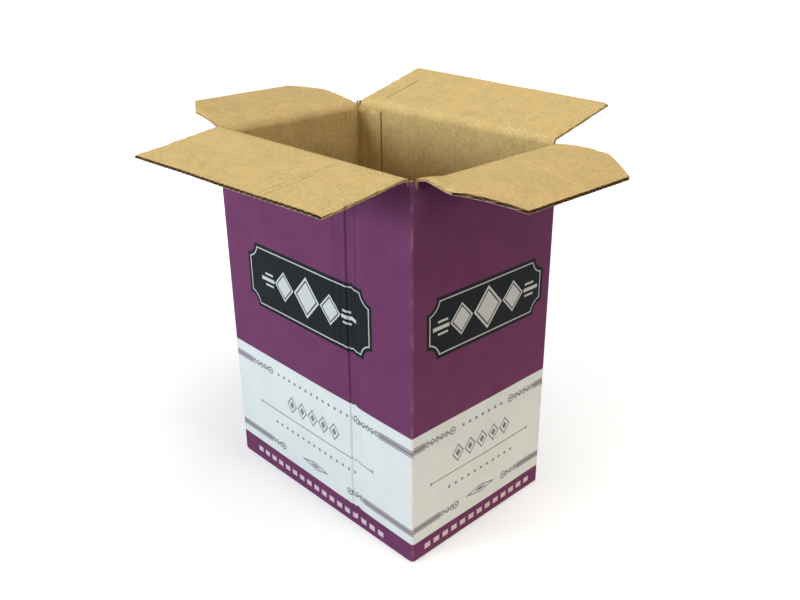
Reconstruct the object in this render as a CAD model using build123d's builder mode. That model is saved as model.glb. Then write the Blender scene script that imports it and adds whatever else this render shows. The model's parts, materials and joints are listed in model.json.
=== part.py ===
from build123d import *
import os
from math import atan2, cos, degrees, radians, sin

# Slotted case in single wall corrugated board, upright, with its four top flaps spread open.
# It is cut and creased from one sheet: four walls, a glue tab inside the back wall, four bottom
# flaps that are shut and glued, and four top flaps that swing on their creases.
# Millimetres. +Z is up, X runs along the long walls, and the front wall faces -Y.
# The origin is the middle of the base.

# Case, measured outside
case_length = 243.0
case_width = 167.0
case_height = 330.0

# Board: two liners with a fluted medium between them, and flutes that run up the walls
board = 3.0
liner = 0.4
medium = 0.4
flute_pitch = 6.5
crest_width = 2.4
trough_width = 1.2

# Creases, where the board is pressed thin, slots between flaps, and the clearances for swinging
fold_radius = 0.8
crease_band = 8.0
crease_board = 1.3
slot_long = 4.0
slot_short = 5.0
slot_overcut = 0.5
fold_gap = 0.15
side_gap = 0.3
layer_gap = 0.3

# Flaps: long ones on the front and back walls, short ones with cut corners on the end walls
long_flap_depth = 79.5
short_flap_depth = 80.0
corner_cut_along = 22.0
corner_cut_deep = 36.0
bottom_seam = 1.0

# Opening angle of each top flap: 0 stands straight up and 90 lies level outside the case
front_angle = 95.5
back_angle = 74.5
right_angle = 94.5
left_angle = 83.0

# Glue tab, folded in from the left wall and glued inside the back wall
tab_width = 31.5
tab_clearance = 0.5
tab_end_slant = 2.0
joint_gap = 2.0
joint_fold_radius = 1.8

# Handling marks: a line crushed up the front wall and over its flap, and one pressed in the back flap
crush_x = 49.0
crush_foot = 18.0
crush_width = 2.6
crush_depth = 0.6
second_crush_spacing = 6.0
second_crush_start = 33.0
press_start = 10.0
press_end = 54.0
mark_width = 1.4
mark_depth = 0.25

# Levels and half sizes that follow from the sizes above
half_length = case_length / 2
half_width = case_width / 2
outer_fold = fold_radius + board
short_level = case_height - board - layer_gap
slot_top = short_level - slot_overcut
slot_base = board + slot_overcut
long_flap_width = case_length - 2 * slot_long
short_flap_width = case_width - 2 * slot_short
flap_side = short_flap_width / 2 + side_gap
free_end = half_length - short_flap_depth
tab_edge_x = -half_length + board + tab_width
tab_foot = 2 * board + tab_clearance
tab_head = short_level - board - tab_clearance


def flap_plane(hinge, outward, angle):
    """Outer liner of an open flap: origin on the crease, local Y towards the free edge."""
    lean = radians(angle)
    along = outward * sin(lean) + Vector(0, 0, cos(lean))
    normal = outward * -cos(lean) + Vector(0, 0, sin(lean))
    return Plane(origin=hinge, x_dir=along.cross(normal), z_dir=normal)


def cross_plane(plane, across, along, height):
    """Plane square to the flutes of a flap, with its local Y through the board's thickness."""
    origin = plane.origin + plane.x_dir * across + plane.y_dir * along + plane.z_dir * height
    return Plane(origin=origin, x_dir=-plane.x_dir, z_dir=plane.y_dir)


def groove_section(plane, width, depth):
    """Section of a V groove, centred on the origin of a cross plane that lies on the board's face."""
    with BuildSketch(plane, mode=Mode.PRIVATE) as section:
        with BuildLine():
            Polyline((-width / 2, 0), (0, -depth), (width / 2, 0), (0, depth), close=True)
        make_face()
    return section.sketch


def flute_section(plane, width):
    """Hollow flutes across a flap, lying alternately against its inner and its outer liner."""
    flute_height = board - 2 * liner - medium
    flank_run = (flute_pitch - crest_width - trough_width) / 2
    flank_angle = degrees(atan2(flute_height, flank_run))
    flute_width = flute_pitch - crest_width
    flutes = int((width - crest_width) // flute_pitch)

    with BuildSketch(plane, mode=Mode.PRIVATE) as section:
        with Locations((0, board - liner - flute_height / 2)):
            with GridLocations(flute_pitch, 0, flutes, 1):
                Trapezoid(flute_width, flute_height, flank_angle, rotation=180)
        with Locations((0, liner + flute_height / 2)):
            with GridLocations(flute_pitch, 0, flutes - 1, 1):
                Trapezoid(flute_width, flute_height, flank_angle)
    return section.sketch


def make_flap(plane, width, depth, cut_along, cut_deep, marks):
    """A flap of fluted board: pressed thin and mitred at its crease, open flutes at its free edge."""
    with BuildPart() as flap:
        # Section along the flap: a ramp rises from the crease to the full board
        with BuildSketch(Plane(origin=plane.origin, x_dir=plane.y_dir, z_dir=plane.x_dir)):
            with BuildLine():
                Polyline(
                    (fold_gap, 0),
                    (depth, 0),
                    (depth, board),
                    (crease_band, board),
                    (fold_gap + crease_board, crease_board),
                    close=True,
                )
            make_face()
        extrude(amount=width / 2, both=True)

        # Slanted cuts at the two free corners
        if cut_along > 0:
            with BuildSketch(plane):
                with BuildLine():
                    Polyline(
                        (width / 2, depth),
                        (width / 2, depth - cut_deep),
                        (width / 2 - cut_along, depth),
                        close=True,
                    )
                make_face()
                mirror(about=Plane.YZ)
            extrude(amount=board, mode=Mode.SUBTRACT)

        # Flutes, pressed shut near the crease
        flutes = flute_section(cross_plane(plane, 0, crease_band, 0), width)
        extrude(flutes, amount=depth - crease_band, mode=Mode.SUBTRACT)

        # Shallow lines pressed into the inner liner, along the flutes
        for mark_x, start, end in marks:
            across = plane.x_dir.X * mark_x
            section = groove_section(cross_plane(plane, across, start, board), mark_width, mark_depth)
            extrude(section, amount=end - start, mode=Mode.SUBTRACT)
    return flap


def crease_seat(half, top):
    """Section of the room above two facing walls, down to their ramps at the crease."""
    with BuildSketch(mode=Mode.PRIVATE) as seat:
        with BuildLine():
            Polyline(
                (half, top - fold_gap),
                (half - crease_board, top - crease_board - fold_gap),
                (half - board, top - crease_band),
                (half - board, top + board),
                (half, top + board),
                close=True,
            )
        make_face()
        mirror(about=Plane.YZ)
    return seat.sketch


def wall_profile(half, top, base, free_end):
    """Section of two facing walls, each pressed thin at its crease and folded into its bottom flap."""
    with BuildSketch(mode=Mode.PRIVATE) as profile:
        with BuildLine():
            Polyline(
                (half, top - fold_gap),
                (half, base),
                (free_end, base),
                (free_end, base + board),
                (half - board, base + board),
                (half - board, top - crease_band),
                (half - crease_board, top - crease_board - fold_gap),
                close=True,
            )
        make_face()
        fillet(profile.vertices().sort_by_distance((half, base))[0], outer_fold)
        fillet(profile.vertices().sort_by_distance((half - board, base + board))[0], fold_radius)
        mirror(about=Plane.YZ)
    return profile.sketch


with BuildPart() as box_body:
    # Walls in plan: three rounded folds, and the glued joint at the back left corner, where the
    # left wall folds in and the cut edge of the back wall stops just short of it
    with BuildSketch(Plane.XY.offset(slot_base)) as walls:
        Rectangle(case_length, case_width)
        fillet(walls.vertices().group_by(Axis.X)[-1], outer_fold)
        fillet(walls.vertices().group_by(Axis.X)[0].sort_by(Axis.Y)[0], outer_fold)
        with Locations((-half_length + joint_gap / 2, half_width - board / 2)):
            Rectangle(joint_gap, board, mode=Mode.SUBTRACT)
        fillet(walls.vertices().group_by(Axis.X)[0].sort_by(Axis.Y)[-1], joint_fold_radius)
        RectangleRounded(
            case_length - 2 * board,
            case_width - 2 * board,
            fold_radius,
            mode=Mode.SUBTRACT,
        )
    extrude(amount=slot_top - slot_base)

    # Ramps down to the creases, lower for the short flaps than for the long ones
    with BuildSketch(Plane.YZ):
        add(crease_seat(half_width, case_height))
    extrude(amount=long_flap_width / 2, both=True, mode=Mode.SUBTRACT)
    with BuildSketch(Plane.XZ):
        add(crease_seat(half_length, short_level))
    extrude(amount=flap_side, both=True, mode=Mode.SUBTRACT)

    # Front and back walls up to their creases, with the long bottom flaps outermost
    with BuildSketch(Plane.YZ):
        add(wall_profile(half_width, case_height, 0, bottom_seam / 2))
    extrude(amount=long_flap_width / 2, both=True)

    # End walls up to their lower creases, with the short bottom flaps lying on the long ones
    with BuildSketch(Plane.XZ):
        add(wall_profile(half_length, short_level, board, free_end))
    extrude(amount=flap_side, both=True)

    # Slanted cuts at the corners of the short bottom flaps
    with BuildSketch(Plane.XY.offset(board)):
        with BuildLine():
            Polyline(
                (free_end, flap_side),
                (free_end + corner_cut_deep, flap_side),
                (free_end, flap_side - corner_cut_along),
                close=True,
            )
        make_face()
        mirror(about=Plane.XZ)
        mirror(about=Plane.YZ)
    extrude(amount=board, mode=Mode.SUBTRACT)

    # Flutes, open at the free edges of the short bottom flaps
    for facing in (-1, 1):
        edge = Plane(origin=(-facing * free_end, 0, board), x_dir=(0, facing, 0), z_dir=(facing, 0, 0))
        flutes = flute_section(edge, short_flap_width)
        extrude(flutes, amount=-(short_flap_depth - crease_band), mode=Mode.SUBTRACT)

    # Glue tab, flat against the inside of the back wall and clear of the flaps at both ends
    with BuildSketch(Plane.XZ.offset(board - half_width)):
        with BuildLine():
            Polyline(
                (-half_length + board, tab_foot),
                (tab_edge_x, tab_foot + tab_end_slant),
                (tab_edge_x, tab_head - tab_end_slant),
                (-half_length + board, tab_head),
                close=True,
            )
        make_face()
    extrude(amount=board)

    # Line crushed into the front wall, up one flute
    crush_start = Plane(origin=(crush_x, -half_width, crush_foot), x_dir=(1, 0, 0), z_dir=(0, 0, 1))
    crush_section = groove_section(crush_start, crush_width, crush_depth)
    extrude(crush_section, amount=slot_top - crush_foot, mode=Mode.SUBTRACT)


front_plane = flap_plane(Vector(0, -half_width, case_height), Vector(0, -1, 0), front_angle)
back_plane = flap_plane(Vector(0, half_width, case_height), Vector(0, 1, 0), back_angle)
right_plane = flap_plane(Vector(half_length, 0, short_level), Vector(1, 0, 0), right_angle)
left_plane = flap_plane(Vector(-half_length, 0, short_level), Vector(-1, 0, 0), left_angle)

front_marks = [
    (crush_x, crease_band, long_flap_depth),
    (crush_x + second_crush_spacing, second_crush_start, long_flap_depth),
]
back_marks = [(tab_edge_x, press_start, press_end)]

front_flap = make_flap(front_plane, long_flap_width, long_flap_depth, 0, 0, front_marks)
back_flap = make_flap(back_plane, long_flap_width, long_flap_depth, 0, 0, back_marks)
right_flap = make_flap(
    right_plane, short_flap_width, short_flap_depth, corner_cut_along, corner_cut_deep, []
)
left_flap = make_flap(
    left_plane, short_flap_width, short_flap_depth, corner_cut_along, corner_cut_deep, []
)

box_body.part.label = "box_body"
front_flap.part.label = "front_flap"
back_flap.part.label = "back_flap"
right_flap.part.label = "right_flap"
left_flap.part.label = "left_flap"

os.makedirs("parts", exist_ok=True)
export_step(box_body.part, "parts/box_body.step")
export_step(front_flap.part, "parts/front_flap.step")
export_step(back_flap.part, "parts/back_flap.step")
export_step(right_flap.part, "parts/right_flap.step")
export_step(left_flap.part, "parts/left_flap.step")
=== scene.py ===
import bmesh
import bpy
import json
from math import ceil, cos, pi, radians, sin
from mathutils import Matrix, Vector, noise


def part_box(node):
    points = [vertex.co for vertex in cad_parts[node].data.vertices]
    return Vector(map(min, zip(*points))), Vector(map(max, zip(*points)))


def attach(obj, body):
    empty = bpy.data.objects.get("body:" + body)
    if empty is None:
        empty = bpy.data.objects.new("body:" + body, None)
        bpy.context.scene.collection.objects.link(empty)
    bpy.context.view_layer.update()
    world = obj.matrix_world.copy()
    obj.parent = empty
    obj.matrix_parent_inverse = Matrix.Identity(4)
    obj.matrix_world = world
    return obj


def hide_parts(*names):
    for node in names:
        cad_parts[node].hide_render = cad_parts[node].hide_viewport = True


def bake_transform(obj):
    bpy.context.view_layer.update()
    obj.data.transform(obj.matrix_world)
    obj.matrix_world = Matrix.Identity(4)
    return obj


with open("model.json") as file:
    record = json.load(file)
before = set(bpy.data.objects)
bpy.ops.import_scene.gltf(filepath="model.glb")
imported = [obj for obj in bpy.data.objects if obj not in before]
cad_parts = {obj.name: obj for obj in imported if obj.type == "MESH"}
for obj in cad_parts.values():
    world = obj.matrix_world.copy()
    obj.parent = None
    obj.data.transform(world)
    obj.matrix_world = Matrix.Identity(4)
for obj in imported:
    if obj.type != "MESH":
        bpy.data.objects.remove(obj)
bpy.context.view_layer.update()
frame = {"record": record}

# A slotted case of single wall corrugated board, printed outside and bare kraft inside.
# The walls, glue tab and bottom flaps are one sheet. Each top flap is the part of the
# same board beyond its slots, and bends on its crease. Metres, in the frame of the model.
MM = 0.001

# Case sizes, read from the frame
_, body_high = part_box("box_body")
half_length = body_high.x
half_width = body_high.y
joints = {joint["name"]: joint for joint in frame["record"]["behaviour"]["joints"]}
long_hinge = joints["front_fold"]["pos_m"][2]
short_hinge = joints["right_fold"]["pos_m"][2]

# Board: two liners with a fluted medium between them
board = 3.0 * MM
liner = 0.36 * MM
medium = 0.34 * MM
flute_pitch = 6.5 * MM
flute_steps = 8

# Folds, slots and creases
outer_fold = 2.4 * MM
inner_fold = 0.3 * MM
foot_fold = 2.0 * MM
joint_fold = 1.8 * MM
fold_seam = 3.6 * MM
slot_top = long_hinge - fold_seam
post_high = long_hinge + 1.0 * MM
post_low = long_hinge - 1.8 * MM
crease_band = 5.0 * MM
crease_board = 2.4 * MM
bend_half = 0.9 * MM
crest_half = 3.2 * MM
bottom_seam = 1.0 * MM
fine_rows_from = 314 * MM

# Flaps
long_flap_width = 235 * MM
short_flap_width = 157 * MM
long_flap_depth = 79.5 * MM
short_flap_depth = 80.0 * MM
corner_cut_along = 22 * MM
corner_cut_deep = 36 * MM
flat_start = 12 * MM
side_crush = 3.0 * MM

# Glue tab
tab_width = 31.5 * MM
tab_foot = 6.5 * MM
tab_head = 326.6 * MM
tab_slant = 2.0 * MM
joint_gap = 2.0 * MM
tab_edge_x = -half_length + board + tab_width
tab_dent_x = -106 * MM

# Crushed line up the front wall: places across the wall, from the foot to the slots
crush_x = 49 * MM
crush_route = [
    (18 * MM, 47.0 * MM), (120 * MM, 47.6 * MM), (146 * MM, 48.0 * MM),
    (235 * MM, 48.2 * MM), (327 * MM, 49.8 * MM),
]
crush_depth = 1.1 * MM

# Print, in millimetres. Levels are heights above the foot. A pair is for the short and the long
# walls, and starts and halves are distances from the middle of the print on a wall.
print_askew = 0.0175
band_low = (19.5, 21.7)
band_high = (123.5, 125.0)
upper_level, upper_stripe, upper_scroll = 111.0, (69.0, 88.0), (34.0, 57.0)
lower_level, lower_stripe, lower_scroll = 33.3, (50.0, 66.0), (28.0, 45.0)
rule_level, rule_half = 70, (62.0, 79.0)
lozenge_level, lozenge_pitch, lozenge_row_half = 86.5, 15.0, 37
dot_pitch, dot_radius = 8.0, 1.5
high_dots_level, high_dots_half = 111, (27.0, 51.0)
low_dots_level, low_dots_half = 57, (43.0, 59.0)
leaf_level = 35
foot_row_level, foot_row_pitch, foot_row_half = 10.5, 11.0, (71.0, 92.0)
plate_level, plate_shift = (210.0, 204.5), (-2.0, 5.0)
plate_half_across, plate_half_up, plate_hollow = (70.0, 82.0), (26.0, 30.5), 11.0

# Faces that meet at more than this many degrees keep a sharp edge
sharp_angle = 58.0

# Material slots of the board pieces
PRINT, KRAFT, EDGE, PALE, MEDIUM = range(5)


def smooth(value):
    """Smooth step from 0 to 1."""
    t = min(max(value, 0.0), 1.0)
    return t * t * (3 - 2 * t)


def ridge(value, centre, half):
    """A smooth hump of height 1 at the centre that ends at half its width each side."""
    return smooth(1 - abs(value - centre) / half)


def wobble(a, b, size, seed=0.0):
    """Smooth noise between about -1 and 1, with bumps of the given size."""
    return noise.noise(Vector((a / size + 7.3 * seed, b / size - 3.1 * seed, seed)))


def levels(start, end, step):
    """Evenly spaced values from start to end, about a step apart."""
    count = max(1, ceil(abs(end - start) / step - 1e-6))
    return [start + (end - start) * i / count for i in range(count + 1)]


def chain(*runs):
    """One rising list from several, without near repeats. Values of earlier runs stay."""
    kept = []
    for run in runs:
        for value in run:
            if all(abs(value - other) > 0.12 * MM for other in kept):
                kept.append(value)
    return sorted(kept)


def crease_thickness(distance):
    """Board thickness at a distance from a crease, where the board is pressed thin."""
    return crease_board + (board - crease_board) * smooth(abs(distance) / crease_band)


class Surface:
    """Collects grids of points and turns them into one mesh."""

    def __init__(self):
        self.points = []
        self.faces = []
        self.slots = []

    def grid(self, rows, slot, flip=False):
        """Quads between neighbouring points of equally long rows. flip turns them over."""
        start = len(self.points)
        width = len(rows[0])
        for row in rows:
            self.points.extend(row)
        for r in range(len(rows) - 1):
            for c in range(width - 1):
                a = start + r * width + c
                face = (a, a + 1, a + width + 1, a + width)
                self.faces.append(face[::-1] if flip else face)
                self.slots.append(slot)

    def build(self, name, materials):
        mesh = bpy.data.meshes.new(name)
        mesh.from_pydata([tuple(p) for p in self.points], [], self.faces)
        for material in materials:
            mesh.materials.append(material)
        mesh.polygons.foreach_set("material_index", self.slots)
        mesh.polygons.foreach_set("use_smooth", [True] * len(mesh.polygons))
        bm = bmesh.new()
        bm.from_mesh(mesh)
        bmesh.ops.remove_doubles(bm, verts=bm.verts, dist=0.008 * MM)
        bmesh.ops.dissolve_degenerate(bm, edges=bm.edges, dist=0.004 * MM)
        for edge in bm.edges:
            folded = len(edge.link_faces) != 2 or edge.calc_face_angle(0.0) > radians(sharp_angle)
            edge.smooth = not folded
        bm.to_mesh(mesh)
        bm.free()
        piece = bpy.data.objects.new(name, mesh)
        bpy.context.scene.collection.objects.link(piece)
        return piece


# Shader fields

class Field:
    """A value in a material's node tree. Arithmetic on fields adds Math nodes."""

    def __init__(self, tree, source):
        self.tree = tree
        self.source = source

    def math(self, operation, *others):
        node = self.tree.nodes.new("ShaderNodeMath")
        node.operation = operation
        for socket, value in zip(node.inputs, (self, *others)):
            if isinstance(value, Field):
                self.tree.links.new(value.source, socket)
            else:
                socket.default_value = value
        return Field(self.tree, node.outputs[0])

    def __add__(self, other):
        return self.math("ADD", other)

    def __sub__(self, other):
        return self.math("SUBTRACT", other)

    def __mul__(self, other):
        return self.math("MULTIPLY", other)

    def __truediv__(self, other):
        return self.math("DIVIDE", other)

    def __neg__(self):
        return self.math("MULTIPLY", -1.0)

    def __abs__(self):
        return self.math("ABSOLUTE")

    def minimum(self, other):
        return self.math("MINIMUM", other)

    def maximum(self, other):
        return self.math("MAXIMUM", other)

    def wrapped(self, period):
        """Distance from the middle of the nearest cell of a repeated pattern."""
        return self.math("WRAP", period / 2, -period / 2)

    def inside(self, soft=0.25):
        """1 where a signed distance in millimetres is negative, with a soft edge."""
        return self.remapped(soft, -soft, 0.0, 1.0)

    def remapped(self, from_low, from_high, low, high):
        node = self.tree.nodes.new("ShaderNodeMapRange")
        self.tree.links.new(self.source, node.inputs["Value"])
        node.inputs["From Min"].default_value = from_low
        node.inputs["From Max"].default_value = from_high
        node.inputs["To Min"].default_value = low
        node.inputs["To Max"].default_value = high
        return Field(self.tree, node.outputs["Result"])


def hypotenuse(a, b):
    return (a * a + b * b).math("SQRT")


def to_linear(red, green, blue):
    """Linear colour with alpha, from 0 to 255 screen values."""
    def channel(value):
        c = value / 255
        return c / 12.92 if c <= 0.04045 else ((c + 0.055) / 1.055) ** 2.4
    return (channel(red), channel(green), channel(blue), 1.0)


class Paper:
    """A paper material: its node tree, the place on the object in millimetres, and its shader."""

    def __init__(self, name, roughness, specular):
        self.material = bpy.data.materials.new(name)
        self.material.use_nodes = True
        self.tree = self.material.node_tree
        self.shader = self.tree.nodes["Principled BSDF"]
        self.shader.inputs["Roughness"].default_value = roughness
        self.shader.inputs["Specular IOR Level"].default_value = specular
        place = self.tree.nodes.new("ShaderNodeTexCoord")
        scale = self.tree.nodes.new("ShaderNodeVectorMath")
        scale.operation = "SCALE"
        scale.inputs["Scale"].default_value = 1 / MM
        self.tree.links.new(place.outputs["Object"], scale.inputs[0])
        self.place = scale.outputs[0]
        split = self.tree.nodes.new("ShaderNodeSeparateXYZ")
        self.tree.links.new(self.place, split.inputs[0])
        self.x, self.y, self.z = (Field(self.tree, socket) for socket in split.outputs)

    def noise(self, size, detail=2.0, stretch=(1, 1, 1)):
        """Cloudy noise from 0 to 1, with features of the given size in millimetres."""
        squeeze = self.tree.nodes.new("ShaderNodeVectorMath")
        squeeze.operation = "MULTIPLY"
        squeeze.inputs[1].default_value = [1 / s for s in stretch]
        self.tree.links.new(self.place, squeeze.inputs[0])
        node = self.tree.nodes.new("ShaderNodeTexNoise")
        node.inputs["Scale"].default_value = 1 / size
        node.inputs["Detail"].default_value = detail
        self.tree.links.new(squeeze.outputs[0], node.inputs["Vector"])
        return Field(self.tree, node.outputs["Fac"])

    def mix(self, factor, first, second):
        """Colour between two, each a colour or a socket."""
        node = self.tree.nodes.new("ShaderNodeMix")
        node.data_type = "RGBA"
        self.tree.links.new(factor.source, node.inputs["Factor"])
        sockets = [s for s in node.inputs if s.type == "RGBA"]
        for socket, value in zip(sockets, (first, second)):
            if isinstance(value, tuple):
                socket.default_value = value
            else:
                self.tree.links.new(value, socket)
        return next(s for s in node.outputs if s.type == "RGBA")

    def finish(self, colour, height, strength):
        """Joins the colour, and a height field in millimetres as bump."""
        self.tree.links.new(colour, self.shader.inputs["Base Color"])
        bump = self.tree.nodes.new("ShaderNodeBump")
        bump.inputs["Strength"].default_value = strength
        bump.inputs["Distance"].default_value = MM
        self.tree.links.new(height.source, bump.inputs["Height"])
        self.tree.links.new(bump.outputs["Normal"], self.shader.inputs["Normal"])
        return self.material

    def washboard(self, across):
        """Faint ridges over the flutes, from 0 to 1."""
        return (across * (2 * pi / (flute_pitch / MM))).math("COSINE") * 0.5 + 0.5


def kraft_material(name, light, dark, fleck):
    """Bare kraft liner: fine fibre, faint clouds, flecks and flute lines."""
    paper = Paper(name, 0.9, 0.08)
    on_long = (-abs(paper.y) + (half_width / MM - 6.2)).inside(0.2)
    across = paper.y + (paper.x - paper.y) * on_long
    cloud = paper.noise(12.0, 3.0).remapped(0.34, 0.66, 0.0, 1.0)
    fibre = paper.noise(2.4, 3.0).remapped(0.34, 0.66, 0.0, 1.0)
    grain = paper.noise(1.0, 2.0).remapped(0.34, 0.66, 0.0, 1.0)
    tint = paper.noise(30.0, 2.0).remapped(0.4, 0.62, 0.0, 1.0)
    specks = paper.noise(1.1, 1.0).remapped(0.66, 0.76, 0.0, 0.5)
    flute = paper.washboard(across)
    shade = cloud * 0.20 + fibre * 0.38 + grain * 0.36 + flute * 0.06
    colour = paper.mix(shade, dark, light)
    warm = tuple(c * k for c, k in zip(light, (1.0, 0.92, 0.78, 1.0)))
    colour = paper.mix(tint * 0.3, colour, warm)
    colour = paper.mix(specks, colour, fleck)

    # Pressed lines: a short slit on the back flap, and the crushed line across the front one,
    # darkened with painted shade where the grooves are
    slit = (abs(paper.x + 91.8) - 0.4).maximum(abs(paper.y - 114.5) - 21.5).maximum(-paper.z + 331)
    tick = (abs(paper.x + 90) - 2.2).maximum(abs(paper.y - 93.4) - 0.4).maximum(-paper.z + 331)
    past_fold = -paper.y - (half_width / MM + 2)
    first = abs(paper.x + past_fold * 0.04 - 52.6) - 0.5
    second = (abs(paper.x - 56.8) - 0.5).maximum(-past_fold + 32)
    pressed = first.minimum(second).maximum(-past_fold).maximum(-paper.z + 318)
    lines = (slit.minimum(tick).inside(0.3) * 0.75).maximum(pressed.inside(0.7) * 0.28)
    colour = paper.mix(lines, colour, to_linear(88, 66, 36))
    height = flute * 0.02 + fibre * 0.03 + grain * 0.03 + cloud * 0.02
    return paper.finish(colour, height, 0.8)


def edge_material(name, light, dark):
    """Cut edges: short broken fibres, light and dark."""
    paper = Paper(name, 0.92, 0.08)
    fibre = paper.noise(0.9, 3.0).remapped(0.35, 0.62, 0.0, 1.0)
    patch = paper.noise(5.0, 2.0).remapped(0.35, 0.65, 0.0, 1.0)
    colour = paper.mix(fibre * 0.6 + patch * 0.4, dark, light)
    return paper.finish(colour, fibre * 0.15, 0.8)


class Panel:
    """Places on a printed wall: across it from its middle, and up it, in millimetres."""

    def __init__(self, paper):
        sign_x = paper.x.math("SIGN")
        sign_y = paper.y.math("SIGN")
        self.long = (-abs(paper.y) + (half_width / MM - 1.5)).inside(0.1)
        on_long = -(paper.x * sign_y)
        on_short = paper.y * sign_x
        self.across = on_short + (on_long - on_short) * self.long
        front = (paper.y + (half_width / MM - 1.5)).inside(0.1)
        # The sheet was printed a little askew, and the crushed line shifts the print beside it
        jog = (abs(self.across - 53) * -0.2 + 1).maximum(0) * front * 1.6
        self.up = paper.z + self.across * self.long * print_askew - jog
        self.front = front * self.long
        self.middle = self.across + self.long * 6.0
        self.off = abs(self.middle)

    def crushed(self, height):
        """Share of painted shade along the crushed line up the front wall and the lines beside it.
        """
        across = self.across - height * 0.0075
        upper = height.remapped(140.0, 300.0, 0.0, 1.0)
        main = (abs(across - 47.1) / -3.0 + 1).maximum(0)
        second = (abs(across - 58.0) / -3.4 + 1).maximum(0) * 0.42
        third = (abs(across - 33.0) / -3.4 + 1).maximum(0) * upper * 0.42
        fourth = (abs(across - 40.0) / -2.4 + 1).maximum(0) * upper * 0.2
        strength = height.remapped(15.0, 250.0, 0.35, 1.0)
        return (main + second + third + fourth) * strength * self.front

    def by_wall(self, pair):
        """A number that differs between the short and the long walls."""
        short, long = pair
        return self.long * (long - short) + short


def rectangle(across, up, half_across, half_up):
    """Signed distance to a rectangle; the first two are distances from its middle."""
    return (abs(across) - half_across).maximum(abs(up) - half_up)


def ornament(panel, level, stripe_start, scroll_start):
    """A stripe from each upright fold that ends in a running scroll.

    Returns signed distances to the stripe, to the two pale lines in it, and to the fine lines.
    """
    rise = panel.up - level
    stripe = (abs(rise) - 3.3).maximum(-panel.off + stripe_start)
    gap = (abs(abs(rise) - 1.9) - 0.28).maximum(-panel.off + stripe_start)
    reach = -panel.off + stripe_start
    turn = reach * (2 * pi / 11.0)
    wave = turn.math("SINE")
    limits = (-reach).maximum(panel.off * -1 + scroll_start + 6.5)
    fade = reach.remapped(0.0, 30.0, 2.6, 1.7)
    line = (abs(rise - wave * fade) - 0.62).maximum(limits)
    cell = (reach - 2.75).wrapped(5.5)
    curl_radius = hypotenuse(cell, rise + wave.math("SIGN") * 0.7)
    curl = (abs(curl_radius - 1.6) - 0.55).maximum(limits)
    end = hypotenuse(panel.off - scroll_start - 3.2, rise)
    ring = (abs(end - 3.1) - 0.62).minimum(end - 1.3)
    return stripe, gap, line.minimum(curl).minimum(ring)


def lozenge(across, up, half_across, half_up):
    """Signed distance, in millimetres, to an upright lozenge."""
    return (abs(across) / half_across + abs(up) / half_up - 1) * min(half_across, half_up)


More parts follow.
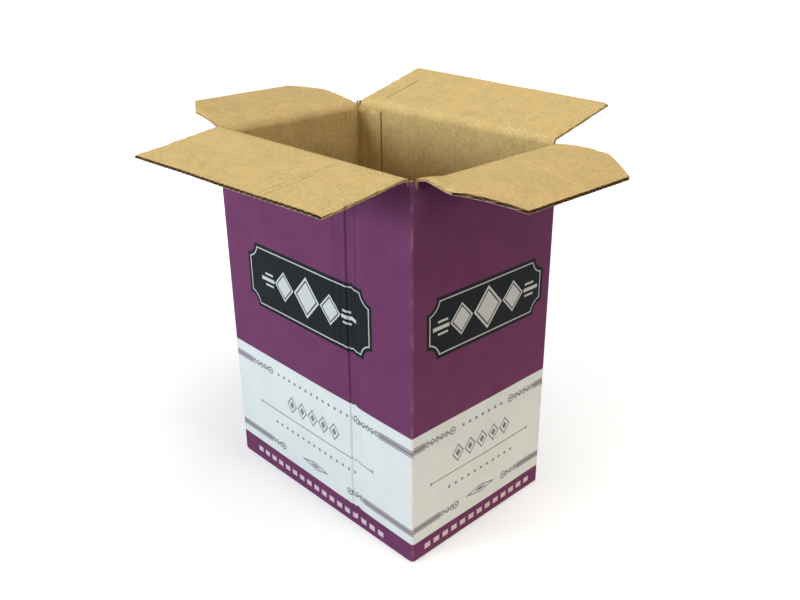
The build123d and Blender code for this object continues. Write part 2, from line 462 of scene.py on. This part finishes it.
def printed_material():
    """Outer liner: plum field, white band with stripes and scrolls, and a plain dark plate."""
    paper = Paper("printed_liner", 0.6, 0.08)
    panel = Panel(paper)
    plum, plum_deep = to_linear(114, 58, 98), to_linear(104, 52, 90)
    white, white_dull = to_linear(226, 230, 230), to_linear(220, 225, 226)
    grey, ink = to_linear(140, 132, 142), to_linear(112, 106, 118)
    plate_dark, plate_pale = to_linear(20, 24, 28), to_linear(214, 216, 218)

    cloud = paper.noise(22.0, 3.0).remapped(0.38, 0.62, 0.0, 1.0)
    grain = paper.noise(1.3, 2.0).remapped(0.35, 0.65, 0.0, 1.0)
    flute = paper.washboard(panel.across)
    field = paper.mix(cloud * 0.6 + grain * 0.34 + flute * 0.06, plum_deep, plum)

    band = (panel.up - panel.by_wall(band_high)).maximum(panel.by_wall(band_low) - panel.up)
    in_band = band.inside()
    sheet = paper.mix(cloud * 0.7 + flute * 0.08 + grain * 0.22, white_dull, white)
    colour = paper.mix(in_band, field, sheet)

    upper = ornament(
        panel, upper_level, panel.by_wall(upper_stripe), panel.by_wall(upper_scroll),
    )
    lower = ornament(
        panel, lower_level, panel.by_wall(lower_stripe), panel.by_wall(lower_scroll),
    )
    for stripe, gap, fine in (upper, lower):
        colour = paper.mix(stripe.inside(), colour, grey)
        colour = paper.mix(gap.inside(0.2) * 0.7, colour, white)
        colour = paper.mix(fine.inside(0.2) * 0.9, colour, ink)

    # Plain motifs in the band: a rule with round ends, a row of lozenges and rows of dots
    rule_reach = panel.off - panel.by_wall(rule_half)
    rule = (abs(panel.up - rule_level) - 0.5).maximum(rule_reach)
    knob = hypotenuse(rule_reach, panel.up - rule_level) - 1.4
    cell = panel.middle.wrapped(lozenge_pitch)
    above = panel.up - lozenge_level
    loop = abs(lozenge(cell, above, 6.2, 8.0)) - 0.75
    seed = lozenge(cell, above, 3.0, 4.0)
    lozenges = loop.minimum(seed).maximum(panel.off - lozenge_row_half)
    dots = []
    for level, half in ((high_dots_level, high_dots_half), (low_dots_level, low_dots_half)):
        dot = hypotenuse(panel.middle.wrapped(dot_pitch), panel.up - level) - dot_radius
        dots.append(dot.maximum(panel.off - panel.by_wall(half)))
    leaf = lozenge(panel.middle, panel.up - leaf_level, 17.0, 3.6)
    leaf = (abs(leaf) - 0.6).minimum(lozenge(panel.middle, panel.up - leaf_level, 8.0, 1.8))
    marks = rule.minimum(knob).minimum(lozenges).minimum(dots[0]).minimum(dots[1]).minimum(leaf)
    colour = paper.mix(marks.inside(0.2) * 0.9, colour, ink)

    # A row of pale bars on the plum foot
    bar = rectangle(
        panel.middle.wrapped(foot_row_pitch), panel.up - foot_row_level, 3.4, 2.6,
    )
    bars = bar.maximum(panel.off - panel.by_wall(foot_row_half))
    colour = paper.mix(bars.inside() * 0.85, colour, to_linear(226, 208, 218))

    # Dark plate with hollowed corners, a fine border, and three lozenges between bars
    along = panel.across + panel.by_wall(plate_shift)
    above = panel.up - panel.by_wall(plate_level)
    half_across = panel.by_wall(plate_half_across)
    half_up = panel.by_wall(plate_half_up)
    corner = hypotenuse(abs(along) - half_across, abs(above) - half_up)
    plate = rectangle(along, above, half_across, half_up).maximum(-corner + plate_hollow)
    border = abs(plate + 3.6) - 0.5
    reach = abs(along)
    big = lozenge(along, above, 17.0, 19.0)
    side = lozenge(reach - 31, above, 13.0, 14.0)
    hollow = (abs(big + 3.4) - 0.8).minimum(abs(side + 2.6) - 0.7)
    bars = rectangle(reach - 54, above, 9.0, 1.6).minimum(
        rectangle(reach - 52, abs(above) - 5.2, 5.5, 0.9)
    )
    shapes = big.minimum(side).maximum(-hollow).minimum(bars).minimum(border)
    colour = paper.mix(plate.inside(), colour, plate_dark)
    colour = paper.mix((shapes.maximum(plate)).inside() * 0.92, colour, plate_pale)

    # Painted shade along the crushed line and the bent flutes beside it, and a faint darker line up
    # the right wall
    painted_crush_shade = panel.crushed(paper.z) * (in_band * -0.36 + 0.46)
    right = (-paper.x + (half_length / MM - 1.5)).inside(0.1)
    right_wall_line = (abs(paper.y - 5) - 0.3).maximum(abs(paper.z - 85) - 37).inside(0.4) * right
    colour = paper.mix(painted_crush_shade + right_wall_line * 0.14, colour, to_linear(46, 28, 56))

    # Worn folds, where the ink is rubbed thin, with an even painted highlight along the folds; the
    # foot and the scuffs are wear
    from_fold = (-abs(paper.x) + half_length / MM).maximum(-abs(paper.y) + half_width / MM)
    rub = paper.noise(4.0, 4.0, (1, 1, 3)).remapped(0.5, 0.75, 0.0, 1.0)
    fold_wear_and_highlight = (from_fold - 1.6).inside(1.0) * (rub * 0.3 + 0.06)
    foot = (paper.z - 1.4).inside(1.0) * (rub * 0.35 + 0.1)
    scuff = paper.noise(2.5, 3.0, (1, 1, 4)).remapped(0.72, 0.8, 0.0, 0.1)
    colour = paper.mix(fold_wear_and_highlight.maximum(foot).maximum(scuff), colour, to_linear(196, 158, 176))

    height = flute * 0.02 + cloud * 0.04 + grain * 0.01
    return paper.finish(colour, height, 0.8)


BOARD_MATERIALS = [
    printed_material(),
    kraft_material(
        "kraft_liner", to_linear(226, 198, 140), to_linear(182, 153, 98), to_linear(148, 118, 70),
    ),
    edge_material("cut_edge", to_linear(206, 178, 126), to_linear(120, 92, 56)),
    edge_material("torn_liner", to_linear(208, 188, 180), to_linear(128, 94, 98)),
    kraft_material(
        "fluted_medium", to_linear(140, 108, 64), to_linear(104, 78, 44), to_linear(80, 58, 34),
    ),
]


# Walls, glue tab and bottom flaps

def crush_at(z):
    """Where the crushed line runs across the front wall, at a height."""
    for (low, start), (high, end) in zip(crush_route, crush_route[1:]):
        if z <= high:
            return start + (end - start) * smooth((z - low) / (high - low))
    return crush_route[-1][1]


def crush_dent(x, z):
    """How far the crushed line and the bent flutes beside it lie behind the front wall."""
    line = crush_at(z)
    start = smooth((z - 14 * MM) / (8 * MM))
    dent = crush_depth * ridge(x, line, 1.9 * MM)
    dent -= 0.35 * MM * ridge(x, line + 3.2 * MM, 2.4 * MM)
    dent -= 0.2 * MM * ridge(x, line - 2.9 * MM, 2.0 * MM)
    high = smooth((z - 90 * MM) / (220 * MM)) * 0.8 + 0.2
    for beside, deep in ((-15, 0.5), (-8, 0.3), (11, 0.6), (19, 0.15)):
        dent += deep * MM * high * ridge(x, line + beside * MM, 2.2 * MM)
    dent += 0.5 * MM * ridge(x, line + 2 * MM, 26 * MM)
    return dent * start


def wall_wave(across, z, half, seed):
    """Slight waves of a wall between its folds."""
    hold = smooth((half - abs(across)) / (22 * MM)) * smooth((z - 2 * MM) / (25 * MM))
    return 0.45 * MM * wobble(across, z * 0.6, 70 * MM, seed) * hold


def tab_dent(x, z):
    """A soft fold up the glue tab, and the lift of its free edge."""
    dent = 1.5 * MM * ridge(x, tab_dent_x, 7 * MM) * (0.85 + 0.15 * wobble(x, z, 30 * MM, 4))
    crush = 1.5 * MM * smooth((x - tab_edge_x + 4 * MM) / (4 * MM))
    crush *= 0.85 + 0.15 * wobble(0, z, 20 * MM, 5)
    head = 1.3 * MM * smooth((z - tab_head + 6 * MM) / (6 * MM))
    return -max(dent, crush, head)


def wall_columns():
    """Points round the sheet in plan, from the cut end of the back wall to the glue tab's edge.

    Each column is (outer point, inner point, zone). The zone is B, R, F or L for the walls, C at
    the folds, K at the fold of the tab and T for the tab.
    """
    columns = []

    def straight(start, end, inward, zone, stops):
        for t in stops:
            outer = start.lerp(end, t)
            columns.append((outer, outer + inward * board, zone))

    def corner(centre, first, last, steps=7):
        for i in range(1, steps):
            a = radians(first + (last - first) * i / steps)
            direction = Vector((cos(a), sin(a)))
            columns.append((centre + direction * outer_fold, centre + direction * inner_fold, "C"))

    def stops(low, high, marks, step):
        values = chain([low, high], marks, levels(low, high, step))
        return [(v - low) / (high - low) for v in values]

    x_fold = half_length - outer_fold
    y_fold = half_width - outer_fold
    long_side = long_flap_width / 2
    short_side = short_flap_width / 2
    back_start = -half_length + joint_gap
    tab_face = half_width - board
    crush = [-(crush_x + d) for d in levels(-24 * MM, 24 * MM, 0.75 * MM)]
    straight(
        Vector((back_start, half_width)), Vector((x_fold, half_width)), Vector((0, -1)), "B",
        stops(back_start, x_fold, [-long_side, long_side], 2.5 * MM),
    )
    corner(Vector((x_fold, y_fold)), 90, 0)
    straight(
        Vector((half_length, y_fold)), Vector((half_length, -y_fold)), Vector((-1, 0)), "R",
        stops(-y_fold, y_fold, [-short_side, short_side], 2.5 * MM),
    )
    corner(Vector((x_fold, -y_fold)), 0, -90)
    straight(
        Vector((x_fold, -half_width)), Vector((-x_fold, -half_width)), Vector((0, 1)), "F",
        stops(-x_fold, x_fold, [-long_side, long_side] + crush, 2.5 * MM),
    )
    corner(Vector((-x_fold, -y_fold)), -90, -180)
    straight(
        Vector((-half_length, -y_fold)), Vector((-half_length, tab_face - joint_fold)),
        Vector((1, 0)), "L",
        stops(-y_fold, tab_face - joint_fold, [-short_side, short_side], 2.5 * MM),
    )
    for i in range(1, 5):
        a = radians(180 - 90 * i / 5)
        centre = Vector((-half_length + joint_fold, tab_face - joint_fold))
        outer = centre + Vector((cos(a), sin(a))) * joint_fold
        inner_y = tab_face - board - (0.5 - 0.1 * i) * MM
        inner = Vector((-half_length + board + 0.1 * MM * i, inner_y))
        columns.append((outer, inner, "K"))
    straight(
        Vector((-half_length + joint_fold, tab_face)), Vector((tab_edge_x, tab_face)),
        Vector((0, -1)), "T", levels(0, 1, 0.04),
    )
    return columns


def wall_points(outer, inner, zone, share):
    """Outer and inner point of one column at a share of its height."""
    hinge = long_hinge if zone in "BF" else short_hinge
    side = long_flap_width / 2 if zone in "BF" else short_flap_width / 2
    across = outer.x if zone in "BF" else outer.y
    under_flap = zone in "BRFL" and abs(across) <= side + 0.01 * MM
    low, high = foot_fold, hinge - fold_seam
    if zone == "T":
        along = (outer.x + half_length) / (tab_edge_x + half_length)
        low = tab_foot + tab_slant * along
        high = tab_head - tab_slant * along
    elif not under_flap:
        high = post_high if outer.x * outer.y < 0 else post_low
        high += 0.8 * MM * wobble(outer.x, outer.y, 2.5 * MM, 8)
    z = low + (high - low) * share
    thickness = crease_thickness(hinge - z) if under_flap else board
    inward = (inner - outer).normalized()
    reach = (inner - outer).length * thickness / board
    push = 0.0
    if zone == "F":
        push = crush_dent(across, z) * smooth((high - z) / (3 * MM))
    if zone in "BRFL":
        half = half_length if zone in "BF" else half_width
        top_hold = smooth((high - z) / (40 * MM))
        push += wall_wave(across, z, half, "BRFL".index(zone)) * top_hold
    outer_point = outer + inward * push
    inner_push = push
    if zone == "F":
        inner_push = push * 0.55
    if zone == "T":
        inner_push = tab_dent(outer.x, z)
    inner_point = outer + inward * (reach + inner_push)
    return Vector((*outer_point, z)), Vector((*inner_point, z))


def build_walls():
    surface = Surface()
    columns = wall_columns()
    heights = chain(
        [foot_fold, slot_top],
        levels(fine_rows_from, slot_top, 1.0 * MM),
        levels(foot_fold, fine_rows_from, 5.5 * MM),
    )
    shares = [(z - foot_fold) / (slot_top - foot_fold) for z in heights]
    outer_rows, inner_rows = [], []
    for share in shares:
        pairs = [wall_points(outer, inner, zone, share) for outer, inner, zone in columns]
        outer_rows.append([pair[0] for pair in pairs])
        inner_rows.append([pair[1] for pair in pairs])
    surface.grid(outer_rows, PRINT, flip=True)
    surface.grid(inner_rows, KRAFT)

    # Rims: foot, head, and the two cut ends of the sheet
    surface.grid([inner_rows[0], outer_rows[0]], EDGE, flip=True)
    surface.grid([outer_rows[-1], inner_rows[-1]], EDGE, flip=True)
    for c, flip in ((0, False), (-1, True)):
        surface.grid([[row[c] for row in inner_rows], [row[c] for row in outer_rows]], EDGE, flip)

    add_bottom_flaps(surface)
    walls = surface.build("printed_walls", BOARD_MATERIALS)
    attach(walls, "box")
    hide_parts("box_body")


def bottom_section(half, level, free_end):
    """Outer and inner line of a wall's foot and its bottom flap, from the wall to the free edge."""
    outer, inner = [], []
    centre = Vector((half - foot_fold, level + foot_fold))
    corner = Vector((half - board, level + board))
    for i in range(7):
        a = radians(-90 * i / 6)
        outer.append(centre + Vector((cos(a), sin(a))) * foot_fold)
        inner.append(corner)
    for x in levels(half - outer_fold - 2 * MM, free_end, 8 * MM):
        outer.append(Vector((x, level)))
        inner.append(Vector((x, level + board)))
    return outer, inner


def add_bottom_flaps(surface):
    """Long bottom flaps that meet at the seam, with the short ones lying on them."""
    short_end = half_length - short_flap_depth
    for facing in (-1, 1):
        outer, inner = bottom_section(half_width, 0.0, bottom_seam / 2)
        add_bottom_flap(
            surface, outer, inner, long_flap_width, lambda p, x: Vector((x, facing * p.x, p.y)),
            facing > 0, 0, bottom_seam / 2,
        )
        outer, inner = bottom_section(half_length, board, short_end)
        add_bottom_flap(
            surface, outer, inner, short_flap_width, lambda p, y: Vector((facing * p.x, y, p.y)),
            facing < 0, corner_cut_along, short_end,
        )


def add_bottom_flap(surface, outer, inner, width, place, flip, cut_along, free_end):
    half = width / 2
    stops = levels(-half, half, 3 * MM)
    flat = outer[0].x - outer_fold - 2 * MM

    def trimmed(p, across):
        """Pulls the flat part back so that its free corners end on their slanted cuts."""
        if cut_along == 0 or p.x >= flat:
            return p
        over = max(0.0, abs(across) - (half - cut_along)) / cut_along
        share = (flat - p.x) / (flat - free_end)
        return Vector((flat - share * (flat - free_end - corner_cut_deep * over), p.y))

    outer_rows = [[place(trimmed(p, s), s) for s in stops] for p in outer]
    inner_rows = [[place(trimmed(p, s), s) for s in stops] for p in inner]
    surface.grid(outer_rows, PRINT, flip=not flip)
    surface.grid(inner_rows, KRAFT, flip=flip)
    surface.grid([outer_rows[-1], inner_rows[-1]], EDGE, flip=not flip)
    surface.grid([inner_rows[0], outer_rows[0]], EDGE, flip=not flip)
    for c, turned in ((0, flip), (-1, not flip)):
        surface.grid([[row[c] for row in inner_rows], [row[c] for row in outer_rows]], EDGE, turned)


# Top flaps

class Flap:
    """One top flap with its crease. u runs across it, s along it from the crease."""

    def __init__(
        self, name, body, node, hinge, outward, angle, twist, width, depth, cuts, marks, seed,
        arch=(0, 0), skew=(0, 0), flare=((0, 0), (0, 0)), flare_end=0.0, bump=0.0,
    ):
        self.name = name
        self.body = body
        self.node = node
        self.hinge = Vector(hinge)
        self.outward = Vector(outward)
        self.angle = radians(angle)
        self.twist = radians(twist)
        self.width = width
        self.depth = depth
        self.cuts = cuts
        self.marks = marks
        self.seed = seed
        self.arch = arch
        self.skew = skew
        self.flare = flare
        self.flare_end = flare_end or depth
        self.bump = bump
        self.foot = -fold_seam
        self.across = Vector((abs(self.outward.y), abs(self.outward.x), 0))

    def share_at(self, u):
        """0 at the side with the lowest u, 1 at the other."""
        return u / self.width + 0.5

    def length_at(self, u):
        """Depth of the flap at a place across it, shorter at cut corners."""
        length = self.depth + self.skew[0] + (self.skew[1] - self.skew[0]) * self.share_at(u)
        for side, along, deep in self.cuts:
            over = max(0.0, u * side - (self.width / 2 - along)) / along
            length -= deep * over
        return length

    def along_at(self, s, u):
        """Pulls a row back where the flap is cut short, with a slightly uneven cut."""
        if s <= flat_start:
            return s
        share = (s - flat_start) / (self.depth - flat_start)
        rough = 0.25 * MM * wobble(u, 0, 4 * MM, self.seed) * smooth((share - 0.9) * 10)
        return flat_start + share * (self.length_at(u) - flat_start) + rough

    def lean(self, u):
        return self.angle + self.twist * u / self.width

    def heading(self, lean):
        """Direction along the flap from its crease, and the one from outer to inner liner."""
        along = self.outward * sin(lean) + Vector((0, 0, cos(lean)))
        normal = self.outward * -cos(lean) + Vector((0, 0, sin(lean)))
        return along, normal

    def outer(self, u, s):
        """Point of the outer liner. s runs from the slot up the wall, through 0 at the crease."""
        base = self.hinge + self.across * u
        along, _ = self.heading(self.lean(u))
        if s <= -bend_half:
            return base + Vector((0, 0, s))
        if s >= bend_half:
            return base + along * s
        t = (s + bend_half) / (2 * bend_half)
        return base - Vector((0, 0, bend_half)) * (1 - t) ** 2 + along * bend_half * t ** 2

    def normal(self, u, s):
        turn = self.lean(u) * smooth((s + crest_half) / (2 * crest_half))
        return self.heading(turn)[1]

    def rise(self, u, s):
        """Slight waves of the whole board, away from its outer side."""
        free = smooth((s - crease_band) / (30 * MM))
        share = min(max(s / self.depth, 0.0), 1.0)
        arch = self.arch[0] + (self.arch[1] - self.arch[0]) * self.share_at(u)
        bump = self.bump * smooth(1 - self.share_at(u) * 5) * smooth((s + fold_seam) / (4 * MM))
        bump *= max(0.0, 1 - max(s, 0.0) / (26 * MM)) ** 1.3
        wave = 0.5 * MM * wobble(u, s, 60 * MM, self.seed) * free
        return wave + arch * 4 * share * (1 - share) + bump

    def side_shift(self, u, s):
        """How far a side of the flap is cut outside its straight line, next to that side."""
        first, last = self.flare[1 if u > 0 else 0]
        shift = first + (last - first) * min(max(s / self.flare_end, 0.0), 1.0)
        near_side = smooth((abs(u) - self.width / 2 + 22 * MM) / (22 * MM))
        return shift * near_side * smooth((s + 1 * MM) / (2 * MM))

    def thickness(self, u, s):
        """Board thickness: thin at the crease, crushed a little along the cut sides."""
        full = crease_thickness(s)
        if s < 0:
            return full
        from_side = self.width / 2 - abs(u)
        crush = 0.34 + 0.3 * wobble(s, u, 5 * MM, self.seed + 2)
        crush *= smooth(1 - from_side / side_crush)
        return full * (1 - crush * smooth(s / (5 * MM)))

    def pressed(self, u, s):
        """Depth of the lines pressed into the inner liner."""
        depth = 0.0
        for start, end, half, deep in self.marks:
            run = end - start
            t = min(max((Vector((u, s)) - start).dot(run) / run.length_squared, 0.0), 1.0)
            distance = (Vector((u, s)) - (start + run * t)).length
            depth += deep * ridge(distance, 0.0, half)
        return depth

    def point(self, u, s, height):
        """Point at a share of the board's thickness above the outer liner."""
        lift = self.thickness(u, s) * height + self.rise(u, s) - self.pressed(u, s) * smooth(height)
        side = 1 if u > 0 else -1
        edge = smooth((abs(u) - self.width / 2 + 1.5 * MM) / (1.5 * MM))
        rough = 0.6 * MM * wobble(s, 2 * height * board, 4.5 * MM, self.seed + side)
        rough *= edge * smooth(s / (4 * MM))
        drift = self.across * (side * (rough + self.side_shift(u, s)))
        return self.outer(u, s) + self.normal(u, s) * lift + drift


def flap_rows(flap):
    """Places along a flap. The fold's crest is one row."""
    crest = [flap.foot, -crest_half, 0, crest_half, crease_band]
    return chain(
        [flap.depth], crest, levels(crease_band + 1.5 * MM, flap.depth - 4 * MM, 2.5 * MM),
        levels(flap.depth - 4 * MM, flap.depth, 1 * MM),
    )


def build_flap(flap):
    surface = Surface()
    half = flap.width / 2
    flutes = int((flap.width - 2 * MM) / flute_pitch)
    inner_half = flutes * flute_pitch / 2
    fluted = levels(-inner_half, inner_half, flute_pitch / flute_steps)
    near_marks = [m[0].x + d for m in flap.marks for d in levels(-1.2 * MM, 1.2 * MM, 0.4 * MM)]
    across = chain([-half, half], near_marks, [-half + 0.5 * MM, half - 0.5 * MM], fluted)
    across = [u for u in across if -half <= u <= half]
    rows = flap_rows(flap)

    def rows_at(height, places, start=None):
        kept = [s for s in rows if start is None or s >= start]
        heights = height if callable(height) else (lambda u: height)
        return [[flap.point(u, flap.along_at(s, u), heights(u)) for u in places] for s in kept]

    # Which way round the outer liner's grid has to go, so that all faces point out of the board
    turned = flap.outward.x + flap.outward.y > 0
    if abs(flap.outward.x) > 0:
        turned = not turned
    outer_rows = rows_at(0.0, across)
    inner_rows = rows_at(1.0, across)
    surface.grid(outer_rows, PRINT, flip=turned)
    surface.grid(inner_rows, KRAFT, flip=not turned)
    surface.grid([inner_rows[0], outer_rows[0]], EDGE, flip=turned)

    # Cut sides: pale outer liner, crushed middle, kraft inner liner
    lower, upper = liner / board, 1 - liner / board
    strips = [(0.0, lower, PALE), (lower, 0.5, EDGE), (0.5, upper, EDGE), (upper, 1.0, EDGE)]
    for u, flip in ((-half, not turned), (half, turned)):
        for low, high, slot in strips:
            pair = [[flap.point(u, flap.along_at(s, u), h) for s in rows] for h in (high, low)]
            surface.grid(pair, slot, flip)

    # Open flutes: the inside of both liners, their cut ends, and the wavy medium between them
    liner_low = rows_at(lower, across, crease_band)
    liner_high = rows_at(upper, across, crease_band)
    surface.grid(liner_low, MEDIUM, flip=not turned)
    surface.grid(liner_high, MEDIUM, flip=turned)
    surface.grid([outer_rows[-1], liner_low[-1]], PALE, flip=turned)
    surface.grid([liner_high[-1], inner_rows[-1]], EDGE, flip=turned)
    half_medium = medium / board / 2
    swing = (upper - lower) / 2 - half_medium

    def wave(offset):
        return lambda u: 0.5 + swing * cos(2 * pi * u / flute_pitch) + offset

    wave_low = rows_at(wave(-half_medium), fluted, crease_band)
    wave_high = rows_at(wave(half_medium), fluted, crease_band)
    surface.grid(wave_low, MEDIUM, flip=turned)
    surface.grid(wave_high, MEDIUM, flip=not turned)
    surface.grid([wave_low[-1], wave_high[-1]], EDGE, flip=turned)

    piece = surface.build(flap.name, BOARD_MATERIALS)
    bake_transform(piece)
    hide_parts(flap.node)


def mark(u1, s1, u2, s2, half, deep):
    """A pressed line from one place on a flap to another, in millimetres."""
    return Vector((u1, s1)) * MM, Vector((u2, s2)) * MM, half * MM, deep * MM


# Opening angles and twists are in degrees: 0 stands straight up, 90 lies level outside the case
FLAPS = [
    Flap(
        "front_top_flap", "front", "front_flap", (0, -half_width, long_hinge), (0, -1, 0),
        97.0, -3.0, long_flap_width, long_flap_depth, [],
        [
            mark(52, 2, 49, 79, 1.8, 0.9),
            mark(56.5, 34, 56.5, 79, 1.6, 0.6),
            mark(44, 30, 43, 79, 1.6, 0.25),
        ], 1.0,
        flare=((0, 3 * MM), (-2 * MM, 4 * MM)),
    ),
    Flap(
        "back_top_flap", "back", "back_flap", (0, half_width, long_hinge), (0, 1, 0),
        76.6, 4.2, long_flap_width, long_flap_depth, [],
        [mark(-92, 10, -91.5, 54, 1.1, 1.3), mark(-92, 10, -88, 9.4, 1.0, 0.7)], 2.0,
        flare=((0, 0), (0, -4 * MM)),
    ),
    Flap(
        "right_top_flap", "right", "right_flap", (half_length, 0, short_hinge), (1, 0, 0),
        94.5, 0, short_flap_width, short_flap_depth,
        [(-1, 21 * MM, 48 * MM), (1, corner_cut_along, corner_cut_deep)],
        [mark(11, 22, 6, 69, 1.8, -0.4)], 3.0,
        arch=(3.5 * MM, 5 * MM), skew=(1 * MM, 3.5 * MM),
        flare=((-6 * MM, 0.5 * MM), (0, 0)), flare_end=31 * MM, bump=3.4 * MM,
    ),
    Flap(
        "left_top_flap", "left", "left_flap", (-half_length, 0, short_hinge), (-1, 0, 0),
        83, 0, short_flap_width, short_flap_depth,
        [(-1, corner_cut_along, corner_cut_deep), (1, 25 * MM, corner_cut_deep)], [], 4.0,
        arch=(4.5 * MM, 1.5 * MM), skew=(-3.5 * MM, -1 * MM),
    ),
]


# Camera: a little above the box, looking at its front right corner

def add_camera():
    azimuth, elevation, roll = radians(-46.4), radians(24.04), radians(-0.52)
    view = Vector((sin(azimuth) * cos(elevation), cos(azimuth) * cos(elevation), -sin(elevation)))
    right = view.cross(Vector((0, 0, 1))).normalized()
    up = right.cross(view)
    rolled_right = right * cos(roll) + up * sin(roll)
    rolled_up = up * cos(roll) - right * sin(roll)
    data = bpy.data.cameras.new("camera")
    data.sensor_width = 36
    data.lens = 38.4
    camera = bpy.data.objects.new("camera", data)
    bpy.context.scene.collection.objects.link(camera)
    rotation = Matrix((rolled_right, rolled_up, -view)).transposed()
    camera.matrix_world = Matrix.Translation(Vector((0.5234, -0.4782, 0.4942))) @ rotation.to_4x4()
    bpy.context.scene.camera = camera


# Studio: white backdrop, pale floor, and large soft lamps

def area_light(name, place, target, size, power, colour, spread=180):
    data = bpy.data.lights.new(name, "AREA")
    data.shape = "DISK"
    data.size = size
    data.energy = power
    data.spread = radians(spread)
    data.color = colour
    light = bpy.data.objects.new(name, data)
    bpy.context.scene.collection.objects.link(light)
    light.location = place
    light.rotation_mode = "QUATERNION"
    light.rotation_quaternion = (Vector(target) - Vector(place)).to_track_quat("-Z", "Y")


def seen_rays(nodes, links):
    """1 on the rays that show the background: straight, mirrored or through glass."""
    path = nodes.new("ShaderNodeLightPath")
    seen = path.outputs["Is Camera Ray"]
    for kind in ("Is Glossy Ray", "Is Transmission Ray"):
        either = nodes.new("ShaderNodeMath")
        either.operation = "MAXIMUM"
        links.new(seen, either.inputs[0])
        links.new(path.outputs[kind], either.inputs[1])
        seen = either.outputs[0]
    return seen


def add_world():
    """White for the camera and for reflections, and a dim soft light for the object."""
    world = bpy.data.worlds.new("studio")
    bpy.context.scene.world = world
    world.use_nodes = True
    nodes, links = world.node_tree.nodes, world.node_tree.links
    background = nodes["Background"]
    background.inputs["Color"].default_value = (1, 1, 1, 1)
    strength = nodes.new("ShaderNodeMapRange")
    links.new(seen_rays(nodes, links), strength.inputs["Value"])
    strength.inputs["To Min"].default_value = 0.10
    strength.inputs["To Max"].default_value = 1.0
    links.new(strength.outputs["Result"], background.inputs["Strength"])


def add_floor():
    """Pale floor that the camera sees as white, with the object's shadow kept."""
    half = 6.0
    mesh = bpy.data.meshes.new("floor")
    corners = [(-half, -half, 0), (half, -half, 0), (half, half, 0), (-half, half, 0)]
    mesh.from_pydata(corners, [], [(0, 1, 2, 3)])
    floor = bpy.data.objects.new("floor", mesh)
    bpy.context.scene.collection.objects.link(floor)
    material = bpy.data.materials.new("pale_floor")
    material.use_nodes = True
    nodes, links = material.node_tree.nodes, material.node_tree.links
    plain = nodes["Principled BSDF"]
    plain.inputs["Base Color"].default_value = (0.62, 0.62, 0.62, 1)
    plain.inputs["Roughness"].default_value = 0.95
    glow = nodes.new("ShaderNodeEmission")
    glow.inputs["Color"].default_value = (1, 1, 1, 1)
    # The glow is weaker beside the object, where the floor keeps its shadow
    place = nodes.new("ShaderNodeTexCoord")
    distance = nodes.new("ShaderNodeVectorMath")
    distance.operation = "LENGTH"
    links.new(place.outputs["Object"], distance.inputs[0])
    spread = nodes.new("ShaderNodeMapRange")
    spread.interpolation_type = "SMOOTHSTEP"
    spread.inputs["From Min"].default_value = 0.3
    spread.inputs["From Max"].default_value = 1.1
    spread.inputs["To Min"].default_value = 0.55
    spread.inputs["To Max"].default_value = 1.0
    links.new(distance.outputs["Value"], spread.inputs["Value"])
    strength = nodes.new("ShaderNodeMath")
    strength.operation = "MULTIPLY"
    links.new(seen_rays(nodes, links), strength.inputs[0])
    links.new(spread.outputs["Result"], strength.inputs[1])
    links.new(strength.outputs[0], glow.inputs["Strength"])
    both = nodes.new("ShaderNodeAddShader")
    links.new(plain.outputs[0], both.inputs[0])
    links.new(glow.outputs[0], both.inputs[1])
    links.new(both.outputs[0], nodes["Material Output"].inputs["Surface"])
    mesh.materials.append(material)


def add_lights():
    target = (0, 0, 0.25)
    area_light("front", (-0.8, -2.35, 0.8), target, 1.0, 50, (0.87, 0.96, 1.0))
    area_light("above", (0.3, 0.0, 2.1), target, 1.1, 26, (1.0, 0.985, 0.965))
    area_light("side", (1.7, 0.05, 0.45), (0.12, 0, -0.15), 0.5, 1.05, (1.0, 0.88, 0.68), spread=45)


add_camera()
add_world()
add_floor()
add_lights()
bpy.context.scene.view_settings.view_transform = "Standard"

build_walls()
for flap in FLAPS:
    build_flap(flap)
